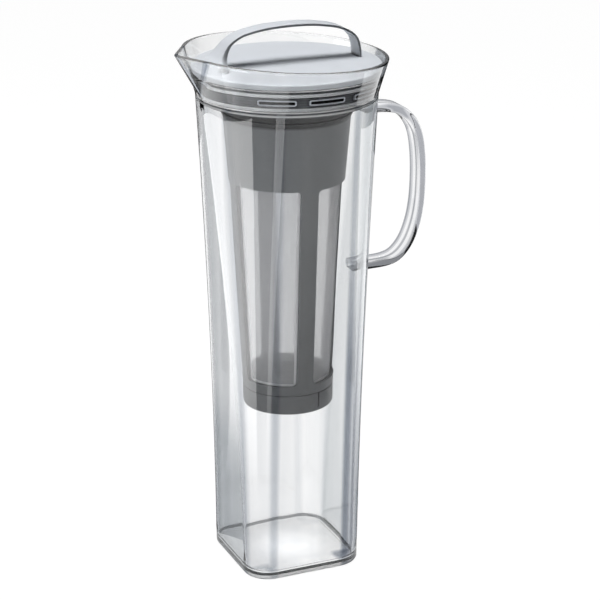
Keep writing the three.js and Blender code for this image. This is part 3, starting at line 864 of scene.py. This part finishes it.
def slot_blocks(margin, inside, outside):
    """Rounded blocks that point outwards, one at each pouring slot."""
    bm = bmesh.new()
    width = 2 * skirt_radius * math.sin(SLOT_ANGLE / 2) + 2 * margin
    for side in (-1, 1):
        for place in (-1, 0, 1):
            add_block(
                bm,
                size=(outside - inside, width, SLOT_HEIGHT + 2 * margin),
                middle=((inside + outside) / 2, 0, SLOT_MIDDLE),
                turn=side * (math.pi / 2 - SLOT_TURN) + place * SLOT_PITCH,
                ease=SLOT_END + margin,
                segments=5,
                rounds=lambda one, two: abs(one.co.x - two.co.x) > 1e-5,
            )
    return bm


def skirt_light_and_shade(tree):
    """Painted highlights on the raised edges at the slots, painted light and dark lines round the skirt, and
    painted shade on the socket.
    """
    place = place_on_object(tree)
    squares = [sums("POWER", place[axis], 2.0) for axis in ("X", "Y")]
    radius = sums("SQRT", sums("ADD", *squares))
    rim_ease = [skirt_radius + SLOT_RIM_RISE * share for share in SLOT_RIM_HIGHLIGHT_EASE]
    rims = mapped(radius, *rim_ease, 1.0, SLOT_RIM_HIGHLIGHT)
    wave = sums("SINE", sums("MULTIPLY", place["Z"], SKIRT_LINES * math.pi))
    lines = mapped(wave, -1.0, 1.0, *SKIRT_LINE_SHADES)
    socket_ease = [COLLAR_RADIUS + outside for outside in SOCKET_EASE]
    socket = mapped(radius, *socket_ease, SOCKET_SHADE)
    return sums("MULTIPLY", sums("MULTIPLY", rims, lines), socket)


skirt_radius = BORE_RADIUS - SKIRT_CLEARANCE
skirt_inside = skirt_radius - SKIRT_WALL
skirt_plastic = moulded_plastic(
    "shaded_grey_plug_plastic", SHADED_PLUG_GREY, SHADED_PLUG_GREY_WORN, PLUG_ROUGHNESS, PLUG_RECESS, skirt_light_and_shade
)
plug_corners = [
    (0, LEDGE, 0),
    (0, WEB_BOTTOM, 0),
    (COLLAR_RADIUS - SOCKET_WALL, WEB_BOTTOM, SOCKET_EDGE),
    (COLLAR_RADIUS - SOCKET_WALL, LIP_TOP + SEAT_GAP, SMALL_EDGE),
    (COLLAR_RADIUS, LIP_TOP + SEAT_GAP, SMALL_EDGE),
    (COLLAR_RADIUS, WEB_BOTTOM, SKIRT_EDGE),
    (skirt_inside, WEB_BOTTOM, SKIRT_EDGE),
    (skirt_inside, SKIRT_BOTTOM, SKIRT_INNER_EDGE),
    (skirt_radius - SEAT_GAP, SKIRT_BOTTOM, SKIRT_EDGE),
]
for rise in sorted(PACKING_RISES.values()):
    groove_low = CREASE + rise - SEAT_GAP
    groove_high = groove_low + PACKING_HEIGHT + 2 * SEAT_GAP
    plug_corners += [
        (skirt_radius, groove_low, GROOVE_EDGE),
        (skirt_radius - GROOVE_DEPTH, groove_low, GROOVE_EDGE),
        (skirt_radius - GROOVE_DEPTH, groove_high, GROOVE_EDGE),
        (skirt_radius, groove_high, GROOVE_EDGE),
    ]
plug_corners.append((skirt_radius, LEDGE, GROOVE_EDGE))
slot_inside = skirt_inside * math.cos(SLOT_ANGLE / 2) - SLOT_DEEPER
slot_rims = slot_blocks(SLOT_RIM, skirt_radius - SLOT_DEEPER, skirt_radius + SLOT_RIM_RISE)
plug = carved(turned(rounded_profile(plug_corners, 3)), slot_rims, "UNION")
plug = carved(plug, slot_blocks(-SLOT_NARROWED, slot_inside, BORE_RADIUS + 2 * SLOT_DEEPER), "DIFFERENCE")
lid_plug = make_piece(plug, "lid_plug_grey", skirt_plastic, 32)
stand_in(lid_plug, "lid_plug", "lid")

# Packing rings
# Two soft silicone rings, each stretched into its groove in the plug. Their thin lips press on the neck.
PACKING_GREY = (0.84, 0.85, 0.87, 1)
PACKING_LIP = 0.00045
PACKING_EDGE = 0.0002
PACKING_ROUGHNESS = 0.35
PACKING_GLOW_THROUGH = 0.2
PACKING_GLOW_DEPTH = 0.001
PACKING_DUST_SCALE = 700
PACKING_DUST_BUMP = 0.2
PACKING_DUST_DEPTH = 0.00008

silicone, tree, shader = new_material("pale_silicone", {
    "Base Color": PACKING_GREY,
    "Roughness": PACKING_ROUGHNESS,
    "Specular IOR Level": 1.0,
    "Subsurface Weight": PACKING_GLOW_THROUGH,
    "Subsurface Radius": [PACKING_GLOW_DEPTH] * 3,
})
bump_from(tree, noise_on_object(tree, PACKING_DUST_SCALE), shader, PACKING_DUST_BUMP, PACKING_DUST_DEPTH)
for name, rise in PACKING_RISES.items():
    low = CREASE + rise
    high = low + PACKING_HEIGHT
    outside = BORE_RADIUS - SEAT_GAP
    waist = outside - PACKING_LIP
    inside = skirt_radius - GROOVE_DEPTH + SEAT_GAP
    packing = make_piece(turned(rounded_profile([
        (inside, low, PACKING_EDGE),
        (waist, low, PACKING_EDGE),
        (outside, low + PACKING_HEIGHT / 4, PACKING_EDGE),
        (waist, low + PACKING_HEIGHT / 2, PACKING_EDGE),
        (outside, high - PACKING_HEIGHT / 4, PACKING_EDGE),
        (waist, high, PACKING_EDGE),
        (inside, high, PACKING_EDGE),
    ])), name + "_silicone", silicone, 60)
    stand_in(packing, name, "seal_rings")

# Strainer frame
# One grey moulding: a spigot for the plug's socket, a lip, a tall tapering collar, four ribs with windows
# between them, and a ring at the bottom with a thinner spigot that the base cap is pushed onto.
COLLAR_TOP = LIP_TOP - 0.0014
LIP_PROUD = 0.0006
SPIGOT_RISE = 0.009
SPIGOT_EDGE = 0.0005
FRAME_WALL = 0.0018
KNEE = LIP_TOP - 0.0407
KNEE_RADIUS = COLLAR_RADIUS - 0.003
KNEE_SOFT = 0.004
WINDOW_TOP = LIP_TOP - 0.0361
WINDOW_BOTTOM = WINDOW_TOP - 0.1076
WINDOW_CORNER = 0.0024
BASKET_RADIUS = KNEE_RADIUS - 0.0055
FRAME_BOTTOM = WINDOW_BOTTOM - 0.0052
CAP_SPIGOT_DEPTH = 0.0052
CAP_SPIGOT_EDGE = 0.0004
CAP_WALL = 0.0016
MESH_SEAT = FRAME_BOTTOM + FRAME_WALL
RIB_WIDTH = 0.009
FRAME_COLUMNS = 128
# The frame's grey is painted much darker than the cap's, as painted shade for where it hangs in the jug.
SHADED_STRAINER_GREY = (0.185, 0.193, 0.20, 1)
SHADED_STRAINER_GREY_WORN = (0.165, 0.173, 0.18, 1)
STRAINER_RECESS = 0.006
PLUG_SHADE = 0.05
PLUG_SHADE_DEPTHS = (0.0022, 0.0008)  # below the top of the collar
FOOT_SHADE = 0.6
FOOT_SHADE_HEIGHTS = (0.1, 0.2)


def strainer_radius(height):
    if height >= KNEE:
        return blend_between(KNEE_RADIUS, COLLAR_RADIUS, (height - KNEE) / (COLLAR_TOP - KNEE))
    return blend_between(BASKET_RADIUS, KNEE_RADIUS, (height - FRAME_BOTTOM) / (KNEE - FRAME_BOTTOM))


def strainer_shades(tree):
    """The top of the collar lies in the shade of the plug's skirt, and the foot deep in the jug."""
    height = place_on_object(tree)["Z"]
    under_plug = mapped(height, *[COLLAR_TOP - depth for depth in PLUG_SHADE_DEPTHS], 1.0, PLUG_SHADE)
    return sums("MULTIPLY", under_plug, mapped(height, *FOOT_SHADE_HEIGHTS, FOOT_SHADE))


def inner_corner(one, two):
    """Whether an edge runs level along a window's block on a side that will be beside a rib."""
    beside_rib = max(one.co.x, two.co.x) < 0 or max(one.co.y, two.co.y) < 0
    return beside_rib and abs(one.co.z - two.co.z) < 1e-5


strainer_plastic = moulded_plastic(
    "shaded_grey_strainer_plastic", SHADED_STRAINER_GREY, SHADED_STRAINER_GREY_WORN, PLUG_ROUGHNESS, STRAINER_RECESS,
    strainer_shades,
)
spigot_radius = COLLAR_RADIUS - SOCKET_WALL - SEAT_GAP
cap_spigot_radius = BASKET_RADIUS - CAP_WALL - SEAT_GAP
frame_body = turned(rounded_profile([
    (cap_spigot_radius - FRAME_WALL, FRAME_BOTTOM - CAP_SPIGOT_DEPTH, CAP_SPIGOT_EDGE),
    (cap_spigot_radius, FRAME_BOTTOM - CAP_SPIGOT_DEPTH, CAP_SPIGOT_EDGE),
    (cap_spigot_radius, FRAME_BOTTOM, SMALL_EDGE),
    (BASKET_RADIUS, FRAME_BOTTOM, SMALL_EDGE),
    (KNEE_RADIUS, KNEE, KNEE_SOFT),
    (COLLAR_RADIUS, COLLAR_TOP, SMALL_EDGE),
    (COLLAR_RADIUS + LIP_PROUD, COLLAR_TOP, SMALL_EDGE),
    (COLLAR_RADIUS + LIP_PROUD, LIP_TOP, SMALL_EDGE),
    (spigot_radius, LIP_TOP, SMALL_EDGE),
    (spigot_radius, LIP_TOP + SPIGOT_RISE, SPIGOT_EDGE),
    (spigot_radius - FRAME_WALL, LIP_TOP + SPIGOT_RISE, SPIGOT_EDGE),
    (spigot_radius - FRAME_WALL, COLLAR_TOP, SMALL_EDGE),
    (COLLAR_RADIUS - FRAME_WALL, COLLAR_TOP, SMALL_EDGE),
    (KNEE_RADIUS - FRAME_WALL, KNEE, KNEE_SOFT),
    (strainer_radius(MESH_SEAT) - FRAME_WALL, MESH_SEAT, SMALL_EDGE),
    (cap_spigot_radius - FRAME_WALL, MESH_SEAT, SMALL_EDGE),
], 3), FRAME_COLUMNS)
windows = bmesh.new()
window_shift = COLLAR_RADIUS / 2 + RIB_WIDTH / 2
for turn in steps(0, 1.5 * math.pi, 3):
    add_block(
        windows,
        size=(COLLAR_RADIUS, COLLAR_RADIUS, WINDOW_TOP - WINDOW_BOTTOM),
        middle=(window_shift, window_shift, (WINDOW_TOP + WINDOW_BOTTOM) / 2),
        turn=turn,
        ease=WINDOW_CORNER,
        segments=6,
        rounds=inner_corner,
    )
strainer = make_piece(carved(frame_body, windows, "DIFFERENCE"), "strainer_frame_grey", strainer_plastic, 32)
stand_in(strainer, "strainer_frame", "strainer")

# Strainer mesh
# A sleeve of finely woven pale mesh, moulded in behind the ribs. Light comes through between its threads.
MESH_THICKNESS = 0.0003
MESH_OVERLAP = 0.004
MESH_GREY = (0.93, 0.93, 0.94, 1)
MESH_ROUGHNESS = 0.6
MESH_IOR = 1.1
MESH_ROWS = 1800.0  # threads to a metre of height
MESH_TURNS = 300.0  # threads round it
MESH_OPEN = 0.08
MESH_THREAD = 0.35
MESH_THREAD_EDGE = 0.6
MESH_GLOW_THROUGH = 0.2
MESH_BORDER = 0.0011  # where it is welded to the ribs and to the sill of each window
MESH_BORDER_COVER = 0.75
MESH_BUMP = 0.3
MESH_THREAD_DEPTH = 0.0001

woven, tree, shader = new_material("fine_woven_mesh", {
    "Base Color": MESH_GREY,
    "Roughness": MESH_ROUGHNESS,
    "Transmission Weight": MESH_GLOW_THROUGH,
    "IOR": MESH_IOR,
})
place = place_on_object(tree)
around = sums("ARCTAN2", place["Y"], place["X"])
up_threads = sums("SINE", sums("MULTIPLY", around, MESH_TURNS))
across_threads = sums("SINE", sums("MULTIPLY", place["Z"], MESH_ROWS * 2 * math.pi))
higher = sums("MAXIMUM", up_threads, across_threads)
cover = mapped(higher, -MESH_THREAD_EDGE, MESH_THREAD_EDGE, MESH_OPEN, MESH_THREAD)
nearer = sums("MINIMUM", *[sums("ABSOLUTE", place[axis]) for axis in ("X", "Y")])
beside_rib = sums("LESS_THAN", nearer, RIB_WIDTH / 2 + MESH_BORDER)
on_sill = sums("LESS_THAN", place["Z"], WINDOW_BOTTOM + MESH_BORDER)
border = sums("MULTIPLY", sums("MAXIMUM", beside_rib, on_sill), MESH_BORDER_COVER)
feed(shader, {"Alpha": sums("MAXIMUM", cover, border)})
bump_from(tree, higher, shader, MESH_BUMP, MESH_THREAD_DEPTH)
mesh_heights = (MESH_SEAT + SEAT_GAP, KNEE, WINDOW_TOP + MESH_OVERLAP)
mesh_outside = [Vector((strainer_radius(height) - FRAME_WALL - SEAT_GAP, height)) for height in mesh_heights]
mesh_inside = [Vector((spot.x - MESH_THICKNESS, spot.y)) for spot in reversed(mesh_outside)]
mesh_sleeve = make_piece(turned(mesh_outside + mesh_inside, FRAME_COLUMNS), "strainer_sleeve", woven)
stand_in(mesh_sleeve, "strainer_mesh", "strainer")

# Strainer base cap
# A shallow grey cup pushed onto the bottom of the strainer. Three slits let its wall spring open a little.
CAP_TOP = FRAME_BOTTOM - SEAT_GAP
CAP_BOTTOM = FRAME_BOTTOM - 0.0106
CAP_FLOOR = 0.0016
CAP_EDGE = 0.0014
CAP_INNER_EDGE = 0.0005
SLIT_WIDTH = 0.0008
SLIT_TURN = math.radians(50)
SLIT_OVERRUN = 0.002

cap = turned(rounded_profile([
    (0, CAP_BOTTOM, 0),
    (BASKET_RADIUS, CAP_BOTTOM, CAP_EDGE),
    (BASKET_RADIUS, CAP_TOP, SMALL_EDGE),
    (BASKET_RADIUS - CAP_WALL, CAP_TOP, SMALL_EDGE),
    (BASKET_RADIUS - CAP_WALL, CAP_BOTTOM + CAP_FLOOR, CAP_INNER_EDGE),
    (0, CAP_BOTTOM + CAP_FLOOR, 0),
]), FRAME_COLUMNS)
slit_low = CAP_BOTTOM + CAP_FLOOR + SLIT_WIDTH
slit_high = CAP_TOP + SLIT_OVERRUN
slits = bmesh.new()
for third in range(3):
    add_block(
        slits,
        size=(3 * CAP_WALL, SLIT_WIDTH, slit_high - slit_low),
        middle=(BASKET_RADIUS - CAP_WALL / 2, 0, (slit_low + slit_high) / 2),
        turn=SLIT_TURN + third * 2 * math.pi / 3,
    )
base_cap = make_piece(carved(cap, slits, "DIFFERENCE"), "strainer_cap_grey", strainer_plastic, 32)
stand_in(base_cap, "strainer_base_cap", "base_cap")

# Studio
# A plain white floor, two soft lights, and cards round the jug that only its gloss or the light through it
# shows, as a photographer stands them out of the picture to draw the edges of clear plastic.
FLOOR_SIZE = 8.0
FLOOR_DROP = 0.0003
FLOOR_GLOW = 0.97
FLOOR_WHITE = (0.08, 0.08, 0.08, 1)
FLOOR_POOL = 0.5  # how much brighter the light gathered under the jug is
FLOOR_POOL_RADIUS = 0.03
CARDS = (
    # name, degrees left of the camera from and to, how high its top is at either end, how bright
    ("left_card", 42.5, 84, 0.064, 0.058, 4.9),
    ("left_side_card", 84, 134, 0.058, 0.060, 2.4),
    ("left_edge_card", 142, 156, 0.055, 0.055, 1.3),
    ("strip_card", 1, 12.4, 0.056, 0.056, 2.6),
    ("right_card", -143.5, -104, 0.080, 0.060, 2.2),
    ("back_card", 164, 209, 0.055, 0.055, 0.6),
)
CARD_DISTANCE = 0.6
CARD_LOW = -0.26
CARD_FADE = (-0.24, -0.12)  # the cards grow bright between these heights
CARD_PANELS = 12
FLOOR_CARD_RADIUS = 0.05
FLOOR_CARD_DROP = 0.0004
FLOOR_CARD_GLOW = 0.95
CEILING_SIZE = 8.0
CEILING_HEIGHT = 1.6
CEILING_GLOW = 0.6
UPRIGHT_CARDS = (
    # name, width, height, how far off, degrees left of the camera, how bright, which light it gives
    ("front_card", 2.4, 1.5, 1.6, 34, 1.9, "through"),
    ("low_front_card", 0.5, 0.12, 0.35, 0, 4.5, "haze"),
)
TOP_LIGHT_SIZE = 0.6
TOP_LIGHT_PLACE = (0.0, 0.0, 1.3)
TOP_LIGHT_POWER = 14.0
SIDE_LIGHT_SIZE = 0.5
SIDE_LIGHT_PLACE = (-0.95, 0.1, 0.75)
SIDE_LIGHT_POWER = 3.2
ROOM_LIGHT = 0.80  # on the bright side, to the left and behind
ROOM_SHADE = 0.16  # on the side away from it
ROOM_BELOW = 0.22  # under the level of the floor
ROOM_HORIZON = -0.02
ROOM_BRIGHT_SIDE = (-0.64, 0.74, 0.22)


def glowing(name, brightness):
    return new_material(name, {
        "Base Color": (0, 0, 0, 1),
        "Roughness": 1,
        "Specular IOR Level": 0,
        "Emission Color": WHITE,
        "Emission Strength": brightness,
    })


def stand_card(bm, name, paper, light="gloss"):
    """A card that the camera doesn't see: it shows in gloss, through clear plastic or as light on haze."""
    card = make_piece(bm, name, paper)
    card.visible_camera = False
    card.visible_shadow = False
    card.visible_glossy = light == "gloss"
    card.visible_transmission = light == "through"
    card.visible_diffuse = light == "haze"
    card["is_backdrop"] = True


bm = bmesh.new()
bmesh.ops.create_grid(bm, x_segments=1, y_segments=1, size=FLOOR_SIZE)
bmesh.ops.translate(bm, verts=bm.verts, vec=(0, 0, -FLOOR_DROP))
floor_paper, tree, shader = glowing("studio_floor", FLOOR_GLOW)
place = add_node(tree, "TexCoord", {})
from_middle = add_node(tree, "VectorMath", {0: place.outputs["Object"]}, operation="LENGTH").outputs["Value"]
pool = mapped(from_middle, 0.0, FLOOR_POOL_RADIUS, FLOOR_GLOW + FLOOR_POOL, FLOOR_GLOW)
pool.node.interpolation_type = "SMOOTHSTEP"
feed(shader, {"Base Color": FLOOR_WHITE, "Emission Strength": pool})
floor = make_piece(bm, "floor", floor_paper)
floor.visible_diffuse = False
floor.visible_glossy = False
floor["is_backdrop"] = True

for name, first, last, first_high, last_high, brightness in CARDS:
    bm = bmesh.new()
    edges = []
    for share in steps(0, 1, CARD_PANELS):
        heading = -math.pi / 2 + CAMERA_AZIMUTH - math.radians(blend_between(first, last, share))
        spot = Vector((math.cos(heading), math.sin(heading))) * CARD_DISTANCE
        high = blend_between(first_high, last_high, share)
        edges.append([bm.verts.new((spot.x, spot.y, CARD_LOW)), bm.verts.new((spot.x, spot.y, high))])
    for one, two in zip(edges, edges[1:]):
        bm.faces.new((one[0], two[0], two[1], one[1]))
    paper, tree, shader = glowing(name + "_paper", brightness)
    feed(shader, {"Emission Strength": mapped(place_on_object(tree)["Z"], *CARD_FADE, 0.0, brightness)})
    stand_card(bm, name, paper)

bm = bmesh.new()
bmesh.ops.create_circle(bm, cap_ends=True, segments=64, radius=FLOOR_CARD_RADIUS)
bmesh.ops.translate(bm, verts=bm.verts, vec=(0, 0, -FLOOR_CARD_DROP))
stand_card(bm, "floor_card", glowing("floor_card_paper", FLOOR_CARD_GLOW)[0])
bm = bmesh.new()
bmesh.ops.create_grid(bm, x_segments=1, y_segments=1, size=CEILING_SIZE / 2)
bmesh.ops.translate(bm, verts=bm.verts, vec=(0, 0, CEILING_HEIGHT))
stand_card(bm, "ceiling", glowing("ceiling_paper", CEILING_GLOW)[0], "through")
for name, width, height, distance, heading, brightness, light in UPRIGHT_CARDS:
    bm = bmesh.new()
    upright = Quaternion((1, 0, 0), math.pi / 2).to_matrix()
    to_its_side = Quaternion((0, 0, 1), CAMERA_AZIMUTH - math.radians(heading)).to_matrix()
    bmesh.ops.create_grid(bm, x_segments=1, y_segments=1, size=0.5)
    bmesh.ops.scale(bm, verts=bm.verts, vec=(width, height, 1))
    bmesh.ops.rotate(bm, verts=bm.verts, cent=(0, 0, 0), matrix=upright)
    bmesh.ops.translate(bm, verts=bm.verts, vec=(0, -distance, height / 2))
    bmesh.ops.rotate(bm, verts=bm.verts, cent=(0, 0, 0), matrix=to_its_side)
    stand_card(bm, name, glowing(name + "_paper", brightness)[0], light)


def soft_light(name, size, power, place):
    """A square light that looks down and isn't seen in the gloss."""
    data = bpy.data.lights.new(name, "AREA")
    data.size = size
    data.energy = power
    light = bpy.data.objects.new(name, data)
    light.location = place
    light.visible_glossy = False
    bpy.context.scene.collection.objects.link(light)
    return light


soft_light("top_light", TOP_LIGHT_SIZE, TOP_LIGHT_POWER, TOP_LIGHT_PLACE)
side_light = soft_light("side_light", SIDE_LIGHT_SIZE, SIDE_LIGHT_POWER, SIDE_LIGHT_PLACE)
side_light.rotation_mode = "QUATERNION"
side_light.rotation_quaternion = (Vector((0, 0, LEDGE)) - side_light.location).to_track_quat("-Z", "Y")

world = bpy.data.worlds.new("studio")
world.use_nodes = True
tree = world.node_tree
heading = add_node(tree, "TexCoord", {}).outputs["Generated"]
height = add_node(tree, "SeparateXYZ", {"Vector": heading}).outputs["Z"]
bright_side = add_node(tree, "VectorMath", {0: heading, 1: ROOM_BRIGHT_SIDE}, operation="DOT_PRODUCT")
room = mapped(bright_side.outputs["Value"], -1.0, 1.0, ROOM_SHADE, ROOM_LIGHT)
room = sums("MULTIPLY", room, sums("GREATER_THAN", height, ROOM_HORIZON))
below = sums("MULTIPLY", sums("LESS_THAN", height, ROOM_HORIZON), ROOM_BELOW)
feed(tree.nodes["Background"], {"Strength": sums("ADD", room, below)})
bpy.context.scene.world = world

low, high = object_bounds()
